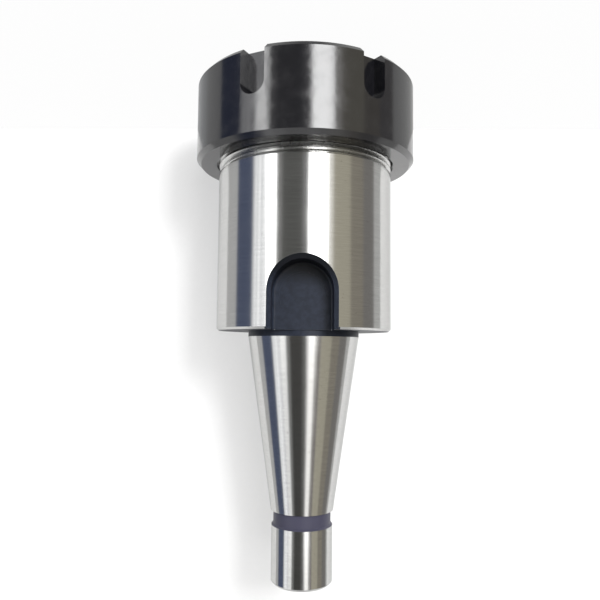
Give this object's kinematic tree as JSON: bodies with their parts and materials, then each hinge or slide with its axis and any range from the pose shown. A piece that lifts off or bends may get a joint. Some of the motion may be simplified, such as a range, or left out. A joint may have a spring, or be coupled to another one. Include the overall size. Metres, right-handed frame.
{
  "type": "collet chuck holder",
  "caption": "Collet chuck with a 7:24 taper shank, two drive slots, a drawbar hole and a slotted clamping nut that presses a spring collet onto the tool.",
  "frame": {"origin": "centre of the nut's front face, which the chuck stands on", "axes": "+Z along the chuck's axis to the drawbar end; the drive slots face -Y and +Y"},
  "size_m": [0.063, 0.063, 0.1419],
  "materials": {
    "ground_steel": "ground bright steel, blackened in the slots and grooves",
    "black_oxide_steel": "polished black oxide",
    "collet_steel": "fine ground spring steel"
  },
  "bodies": {
    "holder": {"holder_body": "ground_steel"},
    "collet": {"spring_collet": "collet_steel"},
    "nut": {"clamping_nut": "black_oxide_steel"}
  },
  "joints": [
    {"name": "collet_travel", "type": "slide", "parent": "holder", "child": "collet", "axis": [0, 0, 1], "range_m": [-0.01055, 0]},
    {"name": "nut_turn", "type": "hinge", "parent": "collet", "child": "nut", "pos_m": [0, 0, 0.012], "axis": [0, 0, 1], "range_deg": [-2520, 0]}
  ],
  "couplings": [
    {"joint": "collet_travel", "follows": "nut_turn", "m_per_rad": 0.00023873}
  ]
}
